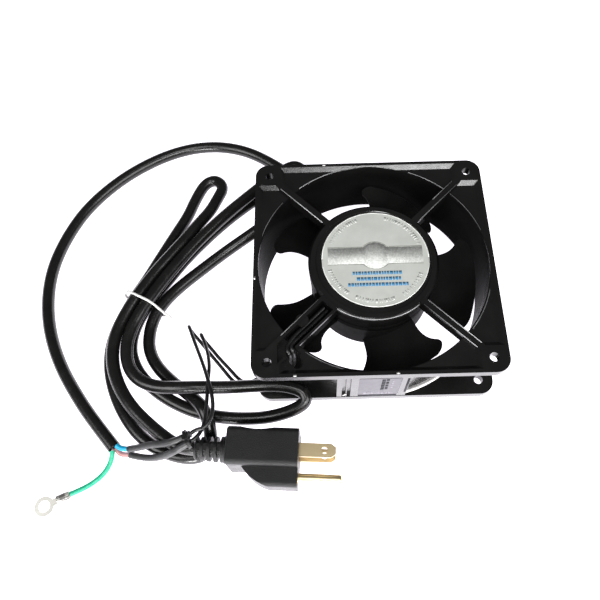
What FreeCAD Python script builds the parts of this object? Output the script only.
"""Axial cooling fan, 120 x 120 x 38 mm, with its mains cord folded and tied beside it.

Millimetres, +Z up. The origin is the middle of the frame's lower face; the shaft stands on Z.
The strut side, which carries the motor, faces up. +Y is the far side of the frame.
"""
import FreeCAD, Part
import math
import os

import Sketcher

V = FreeCAD.Vector
doc = FreeCAD.newDocument("AxialFan")

# ---------------------------------------------------------------- driving dimensions
DIMENSIONS = [
    ("frame_side", 119.5, "outside of the square flanges"),
    ("frame_depth", 38.5, "lower face to upper face"),
    ("flange_thickness", 4.6, "edge of each flange"),
    ("corner_round", 7.0, "corner radius of the flanges"),
    ("hole_pitch", 104.8, "mounting holes, standard for this frame size"),
    ("hole_radius", 2.2, "mounting hole"),
    ("shroud_outer", 59.2, "outside of the cylindrical shroud"),
    ("shroud_bore", 57.4, "air passage"),
    ("mouth_radius", 59.0, "flared mouth of the air passage"),
    ("mouth_depth", 2.8, "depth of the flare"),
    ("recess_depth", 1.8, "sunk part of the upper flange between its corners"),
    ("rim_edge", 57.9, "inner edge of the outer rim, from the middle"),
    ("corner_edge", 46.6, "inner edges of a corner pad, from the middle"),
    ("wall_run", 2.15, "run of the sloped walls of the sunk part"),
    ("strut_width", 3.6, "plain motor strut"),
    ("strut_height", 6.4, "plain motor strut"),
    ("strut_reach", 68.7, "outer end of a plain strut"),
    ("channel_width", 10.2, "strut that carries the leads"),
    ("channel_reach", 71.0, "outer end of the strut that carries the leads"),
    ("channel_depth", 5.5, "lead channel"),
    ("exit_depth", 3.4, "floor where the leads turn into their hole"),
    ("block_face", 59.6, "flat block on the near side, from the middle"),
    ("plate_left", 9.6, "type plate, left of the middle"),
    ("plate_right", 10.0, "type plate, right of the middle"),
    ("plate_base", 6.4, "type plate, lower edge"),
    ("plate_top", 33.0, "type plate, upper edge"),
    ("plate_sheet", 0.12, "type plate, thickness"),
    ("cup_radius", 32.6, "motor cup on the struts"),
    ("cup_base", 23.6, "open edge of the motor cup"),
    ("cup_wall", 1.8, "wall of the motor cup"),
    ("label_radius", 26.8, "label on the motor cup"),
    ("label_x", 1.0, "label centre, stuck on slightly off the shaft"),
    ("label_y", 1.2, "label centre, stuck on slightly off the shaft"),
    ("seat_radius", 28.6, "sunk seat for the label"),
    ("label_thickness", 0.3, "label"),
    ("label_sink", 0.5, "label seat below the rim"),
    ("sleeve_radius", 6.4, "bearing tube"),
    ("sleeve_base", 8.6, "lower end of the bearing tube"),
    ("bearing_radius", 4.6, "outside of a bearing bush"),
    ("bearing_length", 6.0, "bearing bush"),
    ("bearing_bore", 3.0, "bore of a bearing bush"),
    ("shaft_radius", 2.95, "motor shaft"),
    ("rotor_radius", 31.6, "rotor cup"),
    ("rotor_wall", 1.4, "rotor cup"),
    ("rotor_base", 2.8, "closed face of the rotor cup"),
    ("rotor_top", 22.6, "open edge of the rotor cup"),
    ("gap_radius", 26.6, "bore of the rotor ring"),
    ("stator_radius", 26.2, "stator laminations"),
    ("stator_base", 10.0, "stator laminations"),
    ("stator_height", 11.0, "stator laminations"),
    ("coil_start", 12.4, "inner end of a coil"),
    ("coil_length", 5.4, "coil along its pole"),
    ("blade_count", 5, "stamped blades"),
    ("blade_tip", 55.4, "tip radius of the impeller"),
    ("blade_sheet", 1.0, "blade thickness"),
    ("blade_pitch", 27.0, "blade angle in degrees"),
    ("cord_diameter", 6.6, "mains cord jacket"),
    ("lead_diameter", 1.9, "motor lead"),
    ("core_diameter", 2.2, "insulated core of the cord"),
    ("shrink_diameter", 3.4, "sleeve over a joint"),
    ("tie_diameter", 1.3, "paper-covered wire tie"),
    ("plug_height", 25.6, "plug body across the blades"),
    ("plug_width", 17.6, "plug body along the flat"),
    ("plug_length", 33.5, "plug body behind the face"),
    ("relief_length", 16.0, "ribbed strain relief"),
    ("prong_gap", 12.7, "between the flat blades"),
    ("prong_length", 17.2, "flat blade"),
    ("prong_width", 6.35, "flat blade"),
    ("prong_sheet", 1.5, "flat blade"),
    ("ground_radius", 2.4, "round earth pin"),
    ("ground_length", 20.4, "round earth pin"),
    ("ground_offset", 11.9, "earth pin from the blades"),
    ("terminal_radius", 4.65, "ring terminal"),
    ("terminal_hole", 2.7, "ring terminal"),
]
sheet = doc.addObject("Spreadsheet::Sheet", "Dimensions")
for row, (alias, value, note) in enumerate(DIMENSIONS, start=1):
    sheet.set("A%d" % row, alias)
    sheet.set("B%d" % row, str(value))
    sheet.set("C%d" % row, note)
    sheet.setAlias("B%d" % row, alias)
doc.recompute()

PRINTED_RADII = []
SUB_PARTS = []


def size(alias):
    """One value of the sheet."""
    return float(sheet.get(alias))


def bind(item, prop, expression):
    """Drive a property from the sheet; a bare word in braces is a cell's alias."""
    for alias, _value, _note in DIMENSIONS:
        expression = expression.replace("{%s}" % alias, "Dimensions.%s" % alias)
    item.setExpression(prop, expression)


# ---------------------------------------------------------------- sketches and features
def new_body(name):
    body = doc.addObject("PartDesign::Body", name)
    body.Label = name
    SUB_PARTS.append(body)
    return body


def plane_of(body, role):
    for feature in body.Origin.OriginFeatures:
        if feature.Role == role:
            return feature
    raise ValueError(role)


def new_sketch(body, name, role="XY_Plane", height=None):
    """A sketch on one of the body's own origin planes, lifted along its normal."""
    sketch = body.newObject("Sketcher::SketchObject", name)
    sketch.AttachmentSupport = (plane_of(body, role), [""])
    sketch.MapMode = "FlatFace"
    if height is not None:
        bind(sketch, "AttachmentOffset.Base.z", height)
    return sketch


def constrain(sketch, name, expression, *args):
    index = sketch.addConstraint(Sketcher.Constraint(*args))
    sketch.renameConstraint(index, name)
    bind(sketch, "Constraints." + name, expression)


def add_circle(sketch, expression, name="radius", x=0.0, y=0.0, radius=10.0):
    """A circle with its radius bound; its centre is held on the origin or at x, y."""
    circle = sketch.addGeometry(Part.Circle(V(x, y, 0), V(0, 0, 1), radius), False)
    if x == 0.0 and y == 0.0:
        sketch.addConstraint(Sketcher.Constraint("Coincident", circle, 3, -1, 1))
    else:
        sketch.addConstraint(Sketcher.Constraint("DistanceX", -1, 1, circle, 3, x))
        sketch.addConstraint(Sketcher.Constraint("DistanceY", -1, 1, circle, 3, y))
    constrain(sketch, name, expression, "Radius", circle, radius)
    return circle


def add_square(sketch, expression, side, name="side"):
    """A square about the origin with its side bound."""
    half = side / 2
    corners = [V(-half, -half, 0), V(half, -half, 0), V(half, half, 0), V(-half, half, 0)]
    first = sketch.GeometryCount
    for start, end in zip(corners, corners[1:] + corners[:1]):
        sketch.addGeometry(Part.LineSegment(start, end), False)
    for step in range(4):
        sketch.addConstraint(
            Sketcher.Constraint("Coincident", first + step, 2, first + (step + 1) % 4, 1)
        )
    sketch.addConstraint(Sketcher.Constraint("Horizontal", first))
    sketch.addConstraint(Sketcher.Constraint("Vertical", first + 1))
    sketch.addConstraint(Sketcher.Constraint("Horizontal", first + 2))
    sketch.addConstraint(Sketcher.Constraint("Vertical", first + 3))
    sketch.addConstraint(Sketcher.Constraint("Symmetric", first, 1, first + 1, 2, -1, 1))
    sketch.addConstraint(Sketcher.Constraint("Equal", first, first + 1))
    constrain(sketch, name, expression, "DistanceX", first, 1, first, 2, side)


def add_outline(sketch, points):
    """A closed outline of straight edges through the given points."""
    first = sketch.GeometryCount
    count = len(points)
    for step in range(count):
        start = V(points[step][0], points[step][1], 0)
        end = V(points[(step + 1) % count][0], points[(step + 1) % count][1], 0)
        sketch.addGeometry(Part.LineSegment(start, end), False)
    for step in range(count):
        sketch.addConstraint(
            Sketcher.Constraint("Coincident", first + step, 2, first + (step + 1) % count, 1)
        )


def pad(body, sketch, expression, midplane=False, flipped=False, name="Pad"):
    feature = body.newObject("PartDesign::Pad", name)
    feature.Profile = sketch
    feature.Midplane = midplane
    feature.Reversed = flipped
    bind(feature, "Length", expression)
    doc.recompute()
    return feature


def cut(body, sketch, expression=None, flipped=False, midplane=False, name="Pocket"):
    """A pocket of bound depth, or through everything; it must take material away."""
    before = body.Shape.Volume
    feature = body.newObject("PartDesign::Pocket", name)
    feature.Profile = sketch
    feature.Reversed = flipped
    feature.Midplane = midplane
    if expression is None:
        feature.Type = "ThroughAll"
    else:
        bind(feature, "Length", expression)
    doc.recompute()
    if body.Shape.Volume > before - 1e-6:
        raise ValueError("%s cuts nothing from %s" % (sketch.Name, body.Name))
    return feature


def turn(body, sketch, role="Z_Axis", groove=False):
    """Revolve a sketch about one of the body's own axes."""
    kind = "PartDesign::Groove" if groove else "PartDesign::Revolution"
    feature = body.newObject(kind, "Turned")
    feature.Profile = sketch
    feature.ReferenceAxis = (plane_of(body, role), [""])
    feature.Angle = 360.0
    doc.recompute()
    return feature


def repeat_round(body, feature, count, angle=360.0, role="Z_Axis"):
    pattern = body.newObject("PartDesign::PolarPattern", "RoundPattern")
    pattern.Originals = [feature]
    pattern.Axis = (plane_of(body, role), [""])
    pattern.Angle = angle
    if isinstance(count, str):
        bind(pattern, "Occurrences", count)
    else:
        pattern.Occurrences = count
    body.Tip = pattern
    doc.recompute()
    return pattern


def edges_where(shape, test):
    return ["Edge%d" % n for n, edge in enumerate(shape.Edges, start=1) if test(edge)]


def round_edges(body, names, expression, chamfer=False):
    kind = "PartDesign::Chamfer" if chamfer else "PartDesign::Fillet"
    base = body.Tip
    feature = body.newObject(kind, "Edges")
    feature.Base = (base, names)
    bind(feature, "Size" if chamfer else "Radius", expression)
    body.Tip = feature
    doc.recompute()
    return feature


def is_upright(edge):
    ends = [vertex.Point for vertex in edge.Vertexes]
    return len(ends) == 2 and math.hypot(ends[0].x - ends[1].x, ends[0].y - ends[1].y) < 1e-6


# ---------------------------------------------------------------- frame
def build_frame():
    """Die-cast frame: two square flanges, shroud, four struts and the motor cup."""
    body = new_body("frame_casting")
    side = size("frame_side")
    depth = size("frame_depth")
    half = side / 2

    low = new_sketch(body, "LowerFlange")
    add_square(low, "{frame_side}", side)
    pad(body, low, "{flange_thickness}")
    high = new_sketch(body, "UpperFlange", height="{frame_depth} - {flange_thickness}")
    add_square(high, "{frame_side}", side)
    shroud = new_sketch(body, "Shroud")
    add_circle(shroud, "{shroud_outer}", radius=size("shroud_outer"))
    pad(body, shroud, "{frame_depth}")
    pad(body, high, "{flange_thickness}")

    def at_corner(edge):
        if not is_upright(edge):
            return False
        point = edge.Vertexes[0].Point
        return abs(abs(point.x) - half) < 1e-4 and abs(abs(point.y) - half) < 1e-4

    round_edges(body, edges_where(body.Shape, at_corner), "{corner_round}")

    flange_recess(body)
    side_block(body)

    bore = new_sketch(body, "AirPassage")
    add_circle(bore, "{shroud_bore}", radius=size("shroud_bore"))
    cut(body, bore, flipped=True)
    cup_and_struts(body)

    mouth = new_sketch(body, "Mouths", role="XZ_Plane")
    flare = [(size("shroud_bore") - 0.5, -1.0), (size("mouth_radius") + 0.35, -1.0)]
    flare += [(size("mouth_radius"), 0.0), (size("shroud_bore"), size("mouth_depth"))]
    flare += [(size("shroud_bore") - 0.5, size("mouth_depth"))]
    add_outline(mouth, flare)
    turn(body, mouth, groove=True)

    centre = size("hole_pitch") / 2
    holes = new_sketch(body, "MountingHoles", height="-1")
    add_circle(holes, "{hole_radius}", x=centre, y=centre, radius=size("hole_radius"))
    repeat_round(body, cut(body, holes, flipped=True), 4)
    return body


def flange_recess(body):
    """Sink the upper flange between its corner pads, with sloped walls; once for each side."""
    rim = size("rim_edge")
    corner = size("corner_edge")
    run = size("wall_run")
    inner = 30.0
    upper = new_sketch(body, "RecessTop", height="{frame_depth}")
    add_outline(upper, [(-corner, inner), (corner, inner), (corner, rim), (-corner, rim)])
    floor = new_sketch(body, "RecessFloor", height="{frame_depth} - {recess_depth}")
    foot = corner - run
    add_outline(floor, [(-foot, inner), (foot, inner), (foot, rim - run), (-foot, rim - run)])
    sink = body.newObject("PartDesign::SubtractiveLoft", "Recess")
    sink.Profile = upper
    sink.Sections = [floor]
    sink.Ruled = True
    doc.recompute()
    repeat_round(body, sink, 4)


def side_block(body):
    """Flat block between the flanges on the near side, with a groove beside the type plate."""
    face = size("block_face")
    block = new_sketch(body, "SideBlock", height="{flange_thickness} - 0.1")
    add_outline(block, [(-20.1, -face), (14.3, -face), (14.3, -57.0), (-20.1, -55.0)])
    pad(body, block, "{frame_depth} - 2 * {flange_thickness} + 0.2")
    for left, right in ((-17.6, -15.65), (-15.15, -13.3)):
        groove = new_sketch(body, "SideGroove", height="{frame_depth} - {flange_thickness}")
        add_outline(groove, [(left, -face - 1), (right, -face - 1), (right, -57.9), (left, -57.9)])
        cut(body, groove, "{frame_depth} - 2 * {flange_thickness}")


def cup_and_struts(body):
    """Motor cup with its bearing tube, three plain struts and the strut with the lead channel."""
    depth = size("frame_depth")
    cup = size("cup_radius")
    wall = size("cup_wall")
    tube = size("sleeve_radius")
    top = depth - 0.2
    inside = depth - 3.4
    seat = top - size("label_sink")
    profile = new_sketch(body, "MotorCup", role="XZ_Plane")
    add_outline(
        profile,
        [
            (size("bearing_radius"), size("sleeve_base")),
            (tube, size("sleeve_base")),
            (tube, inside - 3.0),
            (tube + 3.0, inside),
            (cup - wall - 3.2, inside),
            (cup - wall - 0.6, inside - 2.6),
            (cup - wall - 0.6, size("cup_base")),
            (cup - 0.6, size("cup_base")),
            (cup - 0.6, size("cup_base") + 3.2),
            (cup - 1.5, size("cup_base") + 3.8),
            (cup - 1.5, size("cup_base") + 4.8),
            (cup - 0.3, size("cup_base") + 5.4),
            (cup - 0.3, top - 4.6),
            (cup - 1.2, top - 4.2),
            (cup - 1.2, top - 3.4),
            (cup, top - 3.0),
            (cup, top - 1.3),
            (cup - 1.3, top),
            (size("seat_radius") + 0.3, top),
            (size("seat_radius"), seat),
            (size("bearing_radius"), seat),
        ],
    )
    turn(body, profile)

    struts = new_sketch(body, "Strut", height="{frame_depth} - {strut_height}")
    inner = cup - wall + 0.4
    thin = size("strut_width") / 2
    strut_outline(struts, -45.0, [(inner, -thin), (size("strut_reach"), thin)])
    strut = pad(body, struts, "{strut_height}")
    repeat_round(body, strut, 3, angle=180.0)

    wide = new_sketch(body, "ChannelStrut", height="{frame_depth} - {strut_height} - 0.8")
    broad = size("channel_width") / 2
    strut_outline(wide, -135.0, [(inner, -broad), (size("channel_reach"), broad)])
    pad(body, wide, "{strut_height} + 0.8")
    # Lead channel between two walls; the left wall is the thicker one.
    right_wall = -3.9
    left_wall = 3.1
    channel = new_sketch(body, "LeadChannel", height="{frame_depth}")
    strut_outline(channel, -135.0, [(cup + 0.9, right_wall), (59.4, left_wall)])
    cut(body, channel, "{channel_depth}")
    # Past the shroud the floor rises and the channel opens towards the hole for the leads.
    way = new_sketch(body, "ChannelExit", height="{frame_depth}")
    strut_outline(
        way, -135.0, [(59.0, right_wall), (71.0, right_wall), (64.2, left_wall), (59.0, left_wall)]
    )
    cut(body, way, "{exit_depth}")
    side_way = new_sketch(body, "ChannelSide", height="{frame_depth}")
    strut_outline(side_way, -135.0, [(59.5, -8.0), (66.5, right_wall + 0.4)])
    cut(body, side_way, "{exit_depth}")
    slot = new_sketch(body, "LeadHole", height="{frame_depth} + 1")
    add_slot(slot, -39.65, -49.7, 2.98, 2.7, 114.8)
    cut(body, slot, "{flange_thickness} + {strut_height}")

    tab = new_sketch(body, "LeadTab", height="{frame_depth} - 1.5")
    disc_centre = polar_point(-135.0, 47.5, left_wall + 0.1)
    add_circle(tab, "3.1", x=disc_centre.x, y=disc_centre.y, radius=3.1)
    pad(body, tab, "1.1")


def polar_point(angle, radius, across=0.0):
    """A point at a radius, moved sideways; positive is clockwise of the radius."""
    turn_by = math.radians(angle)
    x = radius * math.cos(turn_by) + across * math.sin(turn_by)
    y = radius * math.sin(turn_by) - across * math.cos(turn_by)
    return V(x, y, 0)


def strut_outline(sketch, angle, points):
    """An outline in (along, across) a radius; two points are opposite corners of a bar."""
    if len(points) == 2:
        (inner, right), (outer, left) = points
        points = [(inner, right), (outer, right), (outer, left), (inner, left)]
    corners = [polar_point(angle, along, across) for along, across in points]
    add_outline(sketch, [(corner.x, corner.y) for corner in corners])


def add_slot(sketch, x, y, half_length, radius, angle):
    """An obround: two half circles joined by straight sides."""
    turn_by = math.radians(angle)
    along = V(math.cos(turn_by), math.sin(turn_by), 0)
    across = V(-along.y, along.x, 0)
    centre = V(x, y, 0)
    right = centre + along * half_length
    left = centre - along * half_length
    first = sketch.GeometryCount
    sketch.addGeometry(Part.LineSegment(left - across * radius, right - across * radius), False)
    arc = Part.Arc(right - across * radius, right + along * radius, right + across * radius)
    sketch.addGeometry(arc, False)
    sketch.addGeometry(Part.LineSegment(right + across * radius, left + across * radius), False)
    arc = Part.Arc(left + across * radius, left - along * radius, left - across * radius)
    sketch.addGeometry(arc, False)
    for step in range(4):
        sketch.addConstraint(
            Sketcher.Constraint("Coincident", first + step, 2, first + (step + 1) % 4, 1)
        )


# ---------------------------------------------------------------- turned pieces
def turned_piece(name, points):
    """A piece revolved about Z from its half section of (radius, height) points."""
    body = new_body(name)
    sketch = new_sketch(body, name + "_section", role="XZ_Plane")
    add_outline(sketch, points)
    turn(body, sketch)
    return body


def ring_piece(name, outer, inner, base, height):
    """A plain ring: a padded circle with a bound bore."""
    body = new_body(name)
    sketch = new_sketch(body, name + "_section", height=base)
    add_circle(sketch, outer, name="outer", radius=12.0)
    add_circle(sketch, inner, name="inner", radius=2.0)
    pad(body, sketch, height)
    return body


def build_label():
    body = new_body("hub_label")
    sketch = new_sketch(body, "Disc", height="{frame_depth} - 0.2 - {label_sink}")
    add_circle(
        sketch, "{label_radius}", x=size("label_x"), y=size("label_y"), radius=size("label_radius")
    )
    pad(body, sketch, "{label_thickness}")
    return body


def build_sticker():
    """Type plate: a thin flat sheet on the near-side block."""
    body = new_body("rating_sticker")
    sketch = new_sketch(body, "PlateOutline", role="XZ_Plane")
    sketch.AttachmentOffset = FreeCAD.Placement(V(0, 0, size("block_face")), FreeCAD.Rotation())
    left = -size("plate_left")
    right = size("plate_right")
    low = size("plate_base")
    high = size("plate_top")
    add_outline(sketch, [(left, low), (right, low), (right, high), (left, high)])
    pad(body, sketch, "{plate_sheet}")
    return body


# ---------------------------------------------------------------- motor
def build_motor():
    """Shaded-pole motor: laminations, coils, shading rings, bearings and shaft."""
    body = new_body("stator_core")
    disc = new_sketch(body, "Lamination", height="{stator_base}")
    add_circle(disc, "{stator_radius}", name="outer", radius=size("stator_radius"))
    add_circle(disc, "{sleeve_radius}", name="inner", radius=size("sleeve_radius"))
    pad(body, disc, "{stator_height}")
    window = new_sketch(body, "Window", height="{stator_base} + {stator_height}")
    inner_edge = 11.6
    outer_edge = 22.4
    throat = 1.1
    half_angle = 28.0
    arc_in = Part.Arc(
        polar_point(45 - half_angle, inner_edge),
        polar_point(45, inner_edge),
        polar_point(45 + half_angle, inner_edge),
    )
    mouth = math.degrees(math.asin(throat / outer_edge))
    arc_left = Part.Arc(
        polar_point(45 + half_angle + 8, outer_edge),
        polar_point(45 + (half_angle + 8) / 2, outer_edge),
        polar_point(45 + mouth, outer_edge),
    )
    arc_right = Part.Arc(
        polar_point(45 - mouth, outer_edge),
        polar_point(45 - (half_angle + 8) / 2, outer_edge),
        polar_point(45 - half_angle - 8, outer_edge),
    )
    past = size("stator_radius") + 1.0
    pieces = [arc_in]
    pieces.append(Part.LineSegment(arc_in.EndPoint, arc_left.StartPoint))
    pieces.append(arc_left)
    pieces.append(Part.LineSegment(arc_left.EndPoint, polar_point(45, past, -throat)))
    pieces.append(Part.LineSegment(polar_point(45, past, -throat), polar_point(45, past, throat)))
    pieces.append(Part.LineSegment(polar_point(45, past, throat), arc_right.StartPoint))
    pieces.append(arc_right)
    pieces.append(Part.LineSegment(arc_right.EndPoint, arc_in.StartPoint))
    for piece in pieces:
        window.addGeometry(piece, False)
    repeat_round(body, cut(body, window, "{stator_height}"), 4)

    # One coil round the root of each pole.
    for number in range(4):
        coil = new_body("winding_%d" % (number + 1))
        seat = V(0, size("stator_base") + size("stator_height") / 2, size("coil_start"))
        outer = new_sketch(coil, "CoilOutside", role="XZ_Plane")
        outer.AttachmentOffset = FreeCAD.Placement(seat, FreeCAD.Rotation())
        add_outline(outer, [(-6.2, -7.6), (6.2, -7.6), (6.2, 7.6), (-6.2, 7.6)])
        pad(coil, outer, "{coil_length}")
        length = size("coil_length")
        along = edges_where(coil.Shape, lambda edge: abs(edge.Length - length) < 1e-3)
        round_edges(coil, along, "2.2")
        hole = new_sketch(coil, "CoilInside", role="XZ_Plane")
        hole.AttachmentOffset = FreeCAD.Placement(seat, FreeCAD.Rotation())
        add_outline(hole, [(-4.0, -5.6), (4.0, -5.6), (4.0, 5.6), (-4.0, 5.6)])
        cut(coil, hole, midplane=True, expression="30")
        coil.Placement = FreeCAD.Placement(V(0, 0, 0), FreeCAD.Rotation(V(0, 0, 1), 90 * number))

    ring_piece("bearing_bush_lower", "{bearing_radius}", "{bearing_bore}", "{sleeve_base}", "{bearing_length}")
    ring_piece(
        "bearing_bush_upper", "{bearing_radius}", "{bearing_bore}",
        "{frame_depth} - 4.2 - {bearing_length}", "{bearing_length}",
    )
    ring_piece(
        "oil_felt", "{bearing_radius}", "{bearing_bore} + 0.6",
        "{sleeve_base} + {bearing_length}", "{frame_depth} - 4.2 - 2 * {bearing_length} - {sleeve_base}",
    )
    turned_piece(
        "circlip",
        [
            (size("shaft_radius") - 0.45, size("frame_depth") - 3.7),
            (4.3, size("frame_depth") - 3.7),
            (4.3, size("frame_depth") - 3.1),
            (size("shaft_radius") - 0.45, size("frame_depth") - 3.1),
        ],
    )


# ---------------------------------------------------------------- rotor
def build_rotor():
    """Rotor cup, its lamination ring, shaft, thrust washer and the five blades."""
    outer = size("rotor_radius")
    wall = size("rotor_wall")
    base = size("rotor_base")
    top = size("rotor_top")
    shaft = size("shaft_radius")
    turned_piece(
        "rotor_cup",
        [
            (shaft, base),
            (9.0, base),
            (10.4, base + 0.9),
            (outer - 3.6, base + 0.9),
            (outer - 2.2, base + 1.3),
            (outer, base + 3.6),
            (outer, top),
            (outer - wall, top),
            (outer - wall, base + 3.8),
            (outer - wall - 2.0, base + 2.3),
            (7.6, base + 2.3),
            (6.2, base + 4.4),
            (shaft, base + 4.4),
        ],
    )
    cage = new_body("rotor_ring")
    section = new_sketch(cage, "RingSection", height="{rotor_base} + 4.6")
    add_circle(section, "{rotor_radius} - {rotor_wall}", name="outer", radius=30.0)
    add_circle(section, "{gap_radius}", name="inner", radius=26.0)
    pad(cage, section, "{rotor_top} - {rotor_base} - 5.6")
    bar = new_sketch(cage, "CageBar", height="{rotor_top} - 1.0")
    add_circle(bar, "0.7", x=28.2, y=0.0, radius=0.7)
    repeat_round(cage, cut(cage, bar, "2"), 20)

    turned_piece(
        "rotor_shaft",
        [
            (0.0, base + 0.2),
            (shaft - 0.4, base + 0.2),
            (shaft, base + 0.6),
            (shaft, size("frame_depth") - 3.75),
            (shaft - 0.5, size("frame_depth") - 3.75),
            (shaft - 0.5, size("frame_depth") - 3.05),
            (shaft, size("frame_depth") - 3.05),
            (shaft, size("frame_depth") - 2.5),
            (shaft - 0.4, size("frame_depth") - 2.1),
            (0.0, size("frame_depth") - 2.1),
        ],
    )
    ring_piece("thrust_washer", "4.4", "{shaft_radius} + 0.1", "{rotor_base} + 4.4", "0.8")
    for number in range(int(size("blade_count"))):
        build_blade(number)


def build_blade(number):
    """One stamped blade: a cambered sheet trimmed to the lobed outline of the stamping."""
    name = "blade_%d" % (number + 1)
    root = size("rotor_radius")
    tip = size("blade_tip")
    middle = 13.2
    half_chord = 27.0
    camber = 3.4
    thickness = size("blade_sheet")
    pitch = math.radians(size("blade_pitch"))

    def sheet_point(along, above):
        return V(
            0.0,
            along * math.cos(pitch) - above * math.sin(pitch),
            middle + along * math.sin(pitch) + above * math.cos(pitch),
        )

    lower = Part.Arc(sheet_point(-half_chord, 0), sheet_point(0, camber), sheet_point(half_chord, 0))
    upper = Part.Arc(
        sheet_point(-half_chord, thickness),
        sheet_point(0, camber + thickness),
        sheet_point(half_chord, thickness),
    )
    section = Part.Wire(
        [
            lower.toShape(),
            Part.LineSegment(lower.EndPoint, upper.EndPoint).toShape(),
            Part.Arc(upper.EndPoint, sheet_point(0, camber + thickness), upper.StartPoint).toShape(),
            Part.LineSegment(upper.StartPoint, lower.StartPoint).toShape(),
        ]
    )
    cambered = Part.Face(section).extrude(V(tip + 4, 0, 0))
    stock = doc.addObject("Part::Feature", name + "_sheet")
    stock.Shape = cambered

    outline = blade_outline(root, tip)
    trim = doc.addObject("Part::Feature", name + "_outline")
    trim.Shape = outline
    blade = doc.addObject("Part::Common", name)
    blade.Base = stock
    blade.Tool = trim
    blade.Label = name
    blade.Placement = FreeCAD.Placement(
        V(0, 0, 0), FreeCAD.Rotation(V(0, 0, 1), 68.0 + number * 360.0 / size("blade_count"))
    )
    SUB_PARTS.append(blade)
    doc.recompute()
    return blade


def blade_outline(root, tip):
    """Prism whose outline is a blade's plan, from (angle, radius) points; both edges are waisted."""
    low_edge = [(-24.0, root), (-21.0, 36.5), (-19.8, 41.0), (-20.6, 45.0), (-23.0, 50.0)]
    low_corner = [(-23.0, 50.0), (-23.3, 52.6), (-20.3, 54.8), (-16.0, tip)]
    high_corner = [(17.0, tip - 1.4), (22.0, 53.1), (24.8, 50.5), (24.0, 47.8)]
    high_edge = [(24.0, 47.8), (20.9, 43.8), (20.0, 40.0), (20.5, 36.0), (22.0, root)]
    edges = []
    for run in (low_edge, low_corner):
        edges.append(smooth_edge(run))
    tip_arc = Part.Arc(polar_point(-16.0, tip), polar_point(0.0, tip - 0.7), polar_point(17.0, tip - 1.4))
    edges.append(tip_arc.toShape())
    for run in (high_corner, high_edge):
        edges.append(smooth_edge(run))
    root_arc = Part.Arc(polar_point(22.0, root), polar_point(0.0, root), polar_point(-24.0, root))
    edges.append(root_arc.toShape())
    return Part.Face(Part.Wire(edges)).extrude(V(0, 0, 40))


def smooth_edge(run):
    """A smooth curve through (angle, radius) points."""
    curve = Part.BSplineCurve()
    curve.interpolate([polar_point(angle, radius) for angle, radius in run])
    return curve.toShape()


# ---------------------------------------------------------------- cords and wires
ARC_SHARE = 0.45


def tube_path(points, name):
    """Straight runs joined by tangent arcs, each as large as its two runs allow."""
    edges = []
    start = points[0]
    smallest = 1e9
    for before, corner, after in zip(points, points[1:], points[2:]):
        back = before - corner
        ahead = after - corner
        trim = ARC_SHARE * min(back.Length, ahead.Length)
        angle = math.pi - back.getAngle(ahead)
        smallest = min(smallest, trim / math.tan(angle / 2))
        back.normalize()
        ahead.normalize()
        arc_start = corner + back * trim
        arc_end = corner + ahead * trim
        inward = back + ahead
        inward.normalize()
        radius = trim / math.tan(angle / 2)
        arc_middle = corner + inward * (radius / math.cos(angle / 2) - radius)
        edges.append(Part.LineSegment(start, arc_start).toShape())
        edges.append(Part.Arc(arc_start, arc_middle, arc_end).toShape())
        start = arc_end
    edges.append(Part.LineSegment(start, points[-1]).toShape())
    PRINTED_RADII.append((name, round(smallest, 1)))
    return Part.Wire(edges)


def tube(name, route, diameter):
    """A round tube along a route, as a document object of its own."""
    points = [V(*point) for point in route]
    path = tube_path(points, name)
    direction = points[1] - points[0]
    profile = Part.Wire([Part.Circle(points[0], direction, diameter / 2).toShape()])
    solid = path.makePipeShell([profile], True, False)
    expected = math.pi * diameter ** 2 / 4 * path.Length
    if abs(solid.Volume / expected - 1) > 0.01:
        raise ValueError("%s: volume %.1f, expected %.1f" % (name, solid.Volume, expected))
    item = doc.addObject("Part::Feature", name)
    item.Label = name
    item.Shape = solid
    item.Placement = FreeCAD.Placement()
    SUB_PARTS.append(item)
    return path.Length
# The mains cord from its stripped end to the plug, as points (x, y, z) of its middle line.
# It runs in one arc to the far corner of the frame and back to the tie, through two loops at
# the tie and round the strain relief; strands lie on the table or one jacket above another.
CORD_ARC = [
    (-130.0, -82.0, 3.3), (-138.0, -73.0, 3.3), (-149.0, -60.0, 3.3), (-163.0, -40.0, 3.3),
    (-172.3, -20.0, 3.3), (-177.0, 0.0, 3.3), (-177.3, 20.0, 3.3), (-172.3, 40.0, 3.3),
    (-163.0, 60.0, 3.3), (-146.5, 79.0, 3.3), (-128.0, 92.5, 3.3), (-110.0, 100.5, 3.3),
    (-93.0, 103.0, 3.3), (-78.0, 101.0, 3.3), (-65.5, 96.0, 3.3), (-54.0, 88.3, 3.3),
    (-45.0, 81.0, 3.3), (-46.0, 73.5, 3.3), (-54.5, 68.3, 3.3),
]
CORD_FIRST_LOOP = [
    (-63.5, 62.6, 3.3), (-72.8, 55.0, 3.3), (-82.9, 45.6, 3.3), (-93.1, 34.5, 3.3),
    (-103.0, 22.5, 3.3), (-111.0, 10.5, 3.4), (-117.4, 0.0, 4.6), (-122.2, -8.5, 4.7),
    (-126.3, -17.0, 3.4), (-128.0, -26.0, 3.3), (-126.8, -35.0, 3.3), (-121.5, -45.0, 3.3),
    (-112.0, -54.0, 3.3), (-101.0, -61.0, 3.3), (-88.0, -66.3, 3.3), (-73.0, -69.0, 3.3),
    (-59.0, -69.2, 3.3), (-48.5, -69.0, 3.5),
]
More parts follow.
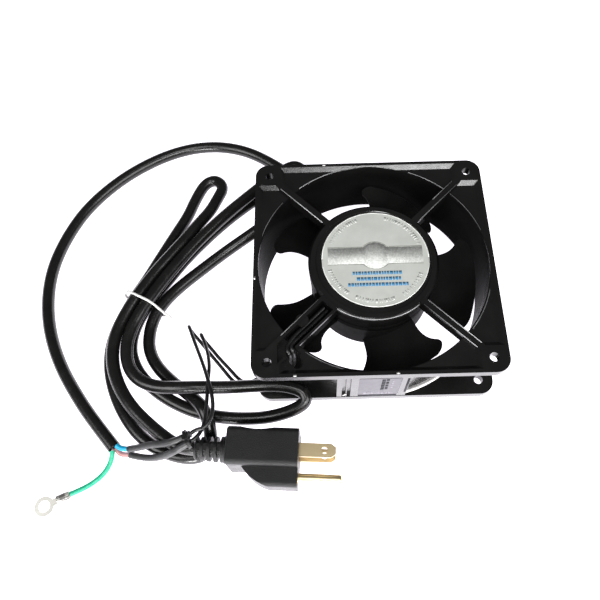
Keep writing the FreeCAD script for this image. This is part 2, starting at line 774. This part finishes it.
CORD_UPPER_LOOP = [
    (-39.3, -68.8, 5.4), (-35.1, -61.5, 8.4), (-39.3, -54.6, 8.6), (-50.0, -54.0, 8.8),
    (-62.0, -54.2, 9.4), (-75.0, -55.3, 11.6), (-88.0, -55.6, 14.0), (-100.0, -55.3, 13.6),
    (-109.0, -54.2, 11.4), (-117.2, -51.4, 10.3), (-123.2, -46.3, 10.1), (-126.8, -39.0, 10.1),
    (-127.8, -30.0, 10.1), (-125.8, -20.5, 10.4), (-122.0, -12.3, 11.2),
]
CORD_FAR_FOLD = [
    (-117.8, -4.3, 11.2), (-112.0, 5.8, 10.8), (-104.2, 18.2, 10.1), (-96.1, 29.2, 10.1),
    (-86.9, 39.9, 10.1), (-77.3, 50.2, 10.1), (-67.6, 59.8, 10.1), (-56.5, 70.0, 10.2),
    (-44.0, 80.4, 10.3), (-37.0, 79.5, 10.2), (-33.4, 73.0, 9.8), (-36.8, 64.5, 9.2),
    (-43.5, 54.5, 9.0), (-52.5, 45.3, 8.9),
]
CORD_INNER_BEND = [
    (-63.0, 36.8, 8.8), (-79.0, 27.2, 4.6), (-93.0, 16.0, 3.3), (-104.3, 5.8, 3.3),
    (-111.6, -3.5, 4.6), (-116.2, -12.0, 4.7), (-118.6, -21.0, 3.4), (-118.0, -31.0, 3.3),
    (-113.3, -40.0, 3.3), (-105.5, -48.0, 3.3), (-97.5, -54.3, 4.8), (-91.0, -59.8, 8.1),
    (-85.6, -65.4, 10.9), (-83.0, -72.5, 8.4), (-82.4, -78.8, 4.4), (-83.2, -84.4, 3.3),
    (-88.5, -87.9, 3.3),
]
CORD_OUTER_BEND = [
    (-97.0, -87.5, 3.3), (-107.5, -83.8, 3.3), (-116.0, -78.3, 3.3), (-123.0, -71.0, 3.3),
    (-128.8, -62.5, 3.3), (-133.4, -53.5, 3.3), (-136.8, -43.5, 3.3), (-138.3, -33.0, 3.3),
    (-137.3, -22.5, 3.3), (-133.7, -12.5, 3.5), (-128.9, -2.2, 4.9), (-123.2, 9.8, 3.5),
    (-118.0, 21.2, 3.3), (-113.1, 31.6, 3.3), (-108.2, 41.7, 3.3), (-103.2, 51.8, 3.3),
    (-98.7, 61.9, 3.4),
]
CORD_TO_PLUG = [
    (-94.8, 75.0, 3.9), (-88.0, 77.6, 4.6), (-82.9, 72.4, 5.4), (-85.4, 62.5, 6.2),
    (-90.0, 53.7, 6.9), (-95.6, 43.0, 8.4), (-102.1, 32.4, 9.7), (-109.5, 22.0, 10.1),
    (-117.6, 10.6, 10.3), (-125.2, -2.8, 11.0), (-130.6, -13.5, 10.4), (-134.2, -24.0, 10.1),
    (-134.8, -34.5, 10.1), (-132.8, -44.5, 10.1), (-128.2, -54.5, 10.1), (-121.5, -63.8, 10.1),
    (-113.0, -71.8, 10.3), (-105.0, -78.3, 11.3), (-98.8, -82.6, 12.4), (-93.2, -85.06, 12.8),
    (-88.1, -85.37, 12.8),
]
CORD_ROUTE = (
    CORD_ARC
    + CORD_FIRST_LOOP
    + CORD_UPPER_LOOP
    + CORD_FAR_FOLD
    + CORD_INNER_BEND
    + CORD_OUTER_BEND
    + CORD_TO_PLUG
)
# Points where one stretch of the cord is cut from the next.
CORD_CUTS = [15, 29, 44, 59, 74, 88, 104]

LEAD_1 = [
    (-25.2, -23.6, 34.3), (-33.5, -31.9, 34.4), (-39.6, -38.4, 35.8), (-43.0, -44.4, 36.6),
    (-42.6, -48.4, 37.0), (-40.3, -51.1, 35.4), (-40.1, -51.8, 27.5), (-41.8, -50.6, 19.0),
    (-47.0, -49.0, 11.5), (-54.0, -49.2, 7.6), (-60.8, -49.8, 6.0), (-66.6, -51.0, 3.2),
    (-72.8, -49.0, 1.3), (-79.5, -41.2, 1.1), (-85.5, -34.0, 1.1), (-91.5, -26.5, 1.1),
    (-97.2, -19.9, 1.2), (-99.2, -16.3, 1.8), (-95.6, -15.8, 2.9), (-94.3, -21.0, 4.4),
    (-92.6, -30.0, 8.4), (-90.6, -40.0, 13.6), (-88.6, -50.0, 18.4), (-86.6, -59.0, 19.6),
    (-85.2, -68.0, 18.6), (-85.5, -74.0, 19.0), (-87.0, -78.2, 20.2), (-89.0, -79.8, 20.25),
]
LEAD_2 = [
    (-23.6, -25.2, 34.3), (-31.9, -33.5, 34.4), (-38.0, -39.8, 35.8), (-41.0, -44.8, 36.4),
    (-40.8, -48.2, 36.1), (-39.1, -49.9, 33.2), (-38.7, -50.3, 27.0), (-39.9, -48.6, 18.6),
    (-45.4, -46.9, 11.2), (-53.5, -46.8, 7.4), (-60.2, -47.3, 5.9), (-65.2, -48.6, 3.2),
    (-70.0, -47.2, 1.1), (-75.4, -42.0, 1.0), (-80.8, -36.2, 1.0), (-85.7, -30.2, 1.1),
    (-90.0, -25.0, 1.3), (-91.8, -21.4, 1.9), (-88.4, -20.7, 3.0), (-87.0, -26.0, 4.6),
    (-86.4, -35.0, 9.2), (-85.8, -44.0, 14.6), (-84.6, -53.5, 18.8), (-83.2, -62.0, 18.6),
    (-82.2, -70.0, 18.0), (-83.0, -76.6, 19.2), (-85.8, -81.6, 20.8), (-88.6, -83.5, 20.65),
]
SHRINK_1 = [
    (-89.2, -79.9, 20.2), (-94.8, -82.6, 19.4), (-101.0, -83.6, 17.3), (-109.0, -82.9, 12.9),
    (-116.0, -83.7, 8.5), (-122.2, -85.0, 4.8),
]
SHRINK_2 = [
    (-88.8, -83.6, 20.6), (-94.2, -86.8, 19.2), (-101.0, -89.0, 13.6), (-107.4, -89.6, 8.0),
    (-115.0, -89.5, 4.2), (-121.6, -88.2, 2.0),
]
CORE_BLUE = [
    (-128.6, -81.1, 4.5), (-126.8, -83.1, 4.2), (-124.8, -85.3, 3.5), (-122.3, -85.02, 4.74),
]
CORE_BROWN = [
    (-129.6, -82.2, 2.0), (-127.8, -84.8, 1.6), (-124.8, -87.6, 1.2), (-121.66, -88.19, 1.98),
]
CORE_GREEN = [
    (-130.8, -83.6, 3.7), (-130.5, -85.5, 3.2), (-131.6, -89.2, 1.6), (-133.8, -93.6, 1.3),
    (-138.2, -97.8, 1.3), (-143.4, -100.9, 1.5), (-148.8, -103.2, 1.9),
]


def build_cord():
    """The mains cord in stretches that meet face to face half way along a run."""
    total = 0.0
    stretch = []
    number = 1
    for index, point in enumerate(CORD_ROUTE):
        stretch.append(point)
        if index in CORD_CUTS:
            after = CORD_ROUTE[index + 1]
            middle = tuple((a + b) / 2 for a, b in zip(point, after))
            stretch.append(middle)
            total += tube("cord_stretch_%d" % number, stretch, size("cord_diameter"))
            stretch = [middle]
            number += 1
    total += tube("cord_stretch_%d" % number, stretch, size("cord_diameter"))
    print("cord length %.0f mm" % total)


def build_leads():
    """Motor leads, the sleeves over their joints, and the three cores of the cord."""
    lead = size("lead_diameter")
    shrink = size("shrink_diameter")
    core = size("core_diameter")
    print("lead 1 length %.0f mm" % tube("lead_wire_1", LEAD_1, lead))
    print("lead 2 length %.0f mm" % tube("lead_wire_2", LEAD_2, lead))
    tube("heat_shrink_1", SHRINK_1, shrink)
    tube("heat_shrink_2", SHRINK_2, shrink)
    tube("core_blue", CORE_BLUE, core)
    tube("core_brown", CORE_BROWN, core)
    tube("core_green", CORE_GREEN, core)


def build_ties():
    """The wire tie round the five strands and the small cable tie round the two sleeves."""
    across = V(0.885, -0.466, 0)
    centre = V(-122.2, -5.6, 0)
    loop = [
        (16.6, 3.4), (14.6, 4.0), (12.7, 3.2), (10.6, 0.66), (-10.4, 0.66), (-12.8, 3.2), (-12.3, 7.2),
        (-8.2, 14.6), (-4.6, 16.0), (4.6, 16.1), (7.8, 14.8), (12.3, 7.8), (14.2, 6.1), (16.8, 5.9),
    ]
    route = [tuple(centre + across * along + V(0, 0, height)) for along, height in loop]
    tube("cord_tie", route, size("tie_diameter"))

    body = new_body("lead_tie")
    band = new_sketch(body, "Band")
    add_slot(band, 0.0, 0.0, 2.1, 2.6, 0.0)
    pad(body, band, "1.6", midplane=True)
    inside = new_sketch(body, "BandInside", height="2")
    add_slot(inside, 0.0, 0.0, 2.1, 1.9, 0.0)
    cut(body, inside, "4")
    head = new_sketch(body, "Head", height="-1.2")
    add_outline(head, [(-1.3, 2.4), (1.3, 2.4), (1.3, 4.4), (-1.3, 4.4)])
    pad(body, head, "2.4")
    along = V(*SHRINK_1[1]) - V(*SHRINK_1[0])
    between = V(*SHRINK_2[0]) - V(*SHRINK_1[0])
    turn_to = FreeCAD.Rotation(between, V(0, 0, 1), along, "ZXY")
    middle = (V(*SHRINK_1[0]) + V(*SHRINK_2[0])) * 0.5 + along.normalize() * 1.6
    body.Placement = FreeCAD.Placement(middle, turn_to)


# ---------------------------------------------------------------- terminal and plug
def build_terminal():
    """Crimped ring terminal on the earth core, flat on the surface."""
    body = new_body("ring_terminal")
    eye = new_sketch(body, "Eye")
    add_circle(eye, "{terminal_radius}", name="outer", radius=size("terminal_radius"))
    pad(body, eye, "0.8")
    tongue = new_sketch(body, "Tongue")
    add_outline(tongue, [(3.4, -1.7), (7.4, -1.5), (7.4, 1.5), (3.4, 1.7)])
    pad(body, tongue, "0.8")
    barrel = new_sketch(body, "Barrel", role="YZ_Plane")
    barrel.AttachmentOffset = FreeCAD.Placement(V(0, 1.9, 6.9), FreeCAD.Rotation())
    barrel.addGeometry(Part.Circle(V(0, 0, 0), V(0, 0, 1), 1.9), False)
    pad(body, barrel, "6.2")
    hole = new_sketch(body, "EyeHole", height="2")
    add_circle(hole, "{terminal_hole}", name="inner", radius=size("terminal_hole"))
    cut(body, hole, "4")
    crimp = new_sketch(body, "Crimp", role="XZ_Plane")
    add_outline(crimp, [(8.6, 3.1), (9.2, 2.9), (10.6, 2.9), (11.2, 3.1), (11.2, 4.4), (8.6, 4.4)])
    cut(body, crimp, "8", midplane=True)
    end = V(*CORE_GREEN[-1])
    back = V(*CORE_GREEN[-2]) - end
    angle = math.degrees(math.atan2(back.y, back.x))
    spin = FreeCAD.Rotation(V(0, 0, 1), angle)
    reach = spin.multVec(V(13.3, 0, 0))
    body.Placement = FreeCAD.Placement(V(end.x - reach.x, end.y - reach.y, 0), spin)


PLUG_PLACE = FreeCAD.Placement(V(-38.6, -88.4, 12.8), FreeCAD.Rotation(V(0, 0, 1), -3.5))


def build_plug():
    """Moulded earthed plug lying on its side: body, ribbed strain relief, two blades and the pin."""
    width = size("plug_width")
    tall = size("plug_height")
    body = new_body("plug_body")
    face = new_sketch(body, "FaceOutline", role="YZ_Plane")
    low = -width / 2 + 0.2
    add_outline(face, [(low, -tall / 2), (low + width, -tall / 2), (low + width, tall / 2), (low, tall / 2)])
    pad(body, face, "{plug_length}", flipped=True)

    def along_plug(edge):
        ends = [vertex.Point for vertex in edge.Vertexes]
        return len(ends) == 2 and abs(ends[0].x - ends[1].x) > 20.0

    round_edges(body, edges_where(body.Shape, along_plug), "2.4")

    def rear_rim(edge):
        return all(abs(vertex.Point.x + size("plug_length")) < 1e-4 for vertex in edge.Vertexes)

    round_edges(body, edges_where(body.Shape, rear_rim), "1.2")
    # Finger grip: a shallow hollow across the flat far side.
    grip = new_sketch(body, "FingerGrip")
    grip.addGeometry(Part.Circle(V(-19.5, low + width + 25.7, 0), V(0, 0, 1), 27.0), False)
    cut(body, grip, "30", midplane=True)
    # The boss of the earth pin swells out of the near side and tapers to the back.
    boss = new_sketch(body, "EarthBoss")
    near = -size("ground_offset") - 5.1
    pieces = [
        Part.LineSegment(V(0, 0, 0), V(-27.5, -6.0, 0)),
        Part.Arc(V(-27.5, -6.0, 0), V(-21.4, -13.2, 0), V(-13.2, near, 0)),
        Part.LineSegment(V(-13.2, near, 0), V(0, near, 0)),
        Part.LineSegment(V(0, near, 0), V(0, 0, 0)),
    ]
    for piece in pieces:
        boss.addGeometry(piece, False)
    pad(body, boss, "15.6", midplane=True)

    def boss_edge(edge):
        box = edge.BoundBox
        flat = box.ZLength < 1e-6 and abs(abs(box.ZMin) - 7.8) < 1e-4
        return flat and box.YMax < low - 0.2

    round_edges(body, edges_where(body.Shape, boss_edge), "2.0")
    body.Placement = PLUG_PLACE

    relief = new_body("strain_relief")
    start = -size("plug_length")
    section = new_sketch(relief, "ReliefSection")
    outline = [
        (start, 0), (start, 6.6), (start - 1.6, 6.6), (start - 2.2, 6.2),
        (start - size("relief_length") + 0.8, 5.5), (start - size("relief_length"), 4.7),
        (start - size("relief_length"), 0),
    ]
    add_outline(section, outline)
    turn(relief, section, role="X_Axis")
    slots = new_sketch(relief, "ReliefSlot")
    first = start - 3.4
    add_outline(slots, [(first, 3.7), (first - 1.7, 3.7), (first - 1.7, 8.0), (first, 8.0)])
    groove = turn(relief, slots, role="X_Axis", groove=True)
    pattern = relief.newObject("PartDesign::LinearPattern", "SlotPattern")
    pattern.Originals = [groove]
    pattern.Direction = (plane_of(relief, "X_Axis"), [""])
    pattern.Reversed = True
    pattern.Length = 9.6
    pattern.Occurrences = 4
    relief.Tip = pattern
    doc.recompute()
    # Two webs tie the ribs together above and below.
    web = new_sketch(relief, "ReliefWeb")
    add_outline(web, [(start - 2.6, -1.7), (start - 14.9, -1.7), (start - 14.9, 1.7), (start - 2.6, 1.7)])
    pad(relief, web, "10.4", midplane=True)
    relief.Placement = PLUG_PLACE

    for number, side in ((1, 1), (2, -1)):
        blade = new_body("plug_blade_%d" % number)
        flat = new_sketch(blade, "BladeOutline")
        half = size("prong_width") / 2
        long = size("prong_length")
        add_outline(
            flat,
            [(0, -half), (long - 2.2, -half), (long, -half + 1.6), (long, half - 1.6), (long - 2.2, half), (0, half)],
        )
        pad(blade, flat, "{prong_sheet}", midplane=True)
        eye = new_sketch(blade, "BladeEye")
        add_circle(eye, "1.6", x=11.8, y=0.0, radius=1.6)
        cut(blade, eye, "6", midplane=True)
        lift = FreeCAD.Placement(V(0, 0, side * size("prong_gap") / 2), FreeCAD.Rotation())
        blade.Placement = PLUG_PLACE * lift

    pin = new_body("plug_ground_pin")
    round_sketch = new_sketch(pin, "PinSection", role="YZ_Plane")
    add_circle(round_sketch, "{ground_radius}", radius=size("ground_radius"))
    pad(pin, round_sketch, "{ground_length}")
    tip = edges_where(
        pin.Shape, lambda edge: edge.BoundBox.XLength < 1e-6 and abs(edge.BoundBox.XMin - size("ground_length")) < 1e-6
    )
    round_edges(pin, tip, "1.2")
    pin.Placement = PLUG_PLACE * FreeCAD.Placement(V(0, -size("ground_offset"), 0), FreeCAD.Rotation())


# ---------------------------------------------------------------- whole model
def check_document():
    """Every object must have recomputed, and every sub-part must be a sound solid."""
    doc.recompute()
    for item in doc.Objects:
        states = [state for state in item.State if state in ("Invalid", "Error")]
        if states:
            raise ValueError("%s is %s" % (item.Name, states))
    for item in SUB_PARTS:
        if item.Shape.isNull() or not item.Shape.isValid():
            raise ValueError("%s has no sound shape" % item.Label)
        if not item.Shape.Solids:
            raise ValueError("%s has no solid" % item.Label)


def main():
    build_frame()
    build_label()
    build_sticker()
    build_motor()
    build_rotor()
    build_cord()
    build_leads()
    build_ties()
    build_terminal()
    build_plug()
    check_document()
    for name, radius in PRINTED_RADII:
        print("smallest radius of %s: %.1f mm" % (name, radius))
    os.makedirs("parts", exist_ok=True)
    for item in SUB_PARTS:
        item.Shape.exportStep("parts/%s.step" % item.Label)
        print("%-20s %9.1f mm3 %4d faces" % (item.Label, item.Shape.Volume, len(item.Shape.Faces)))


main()
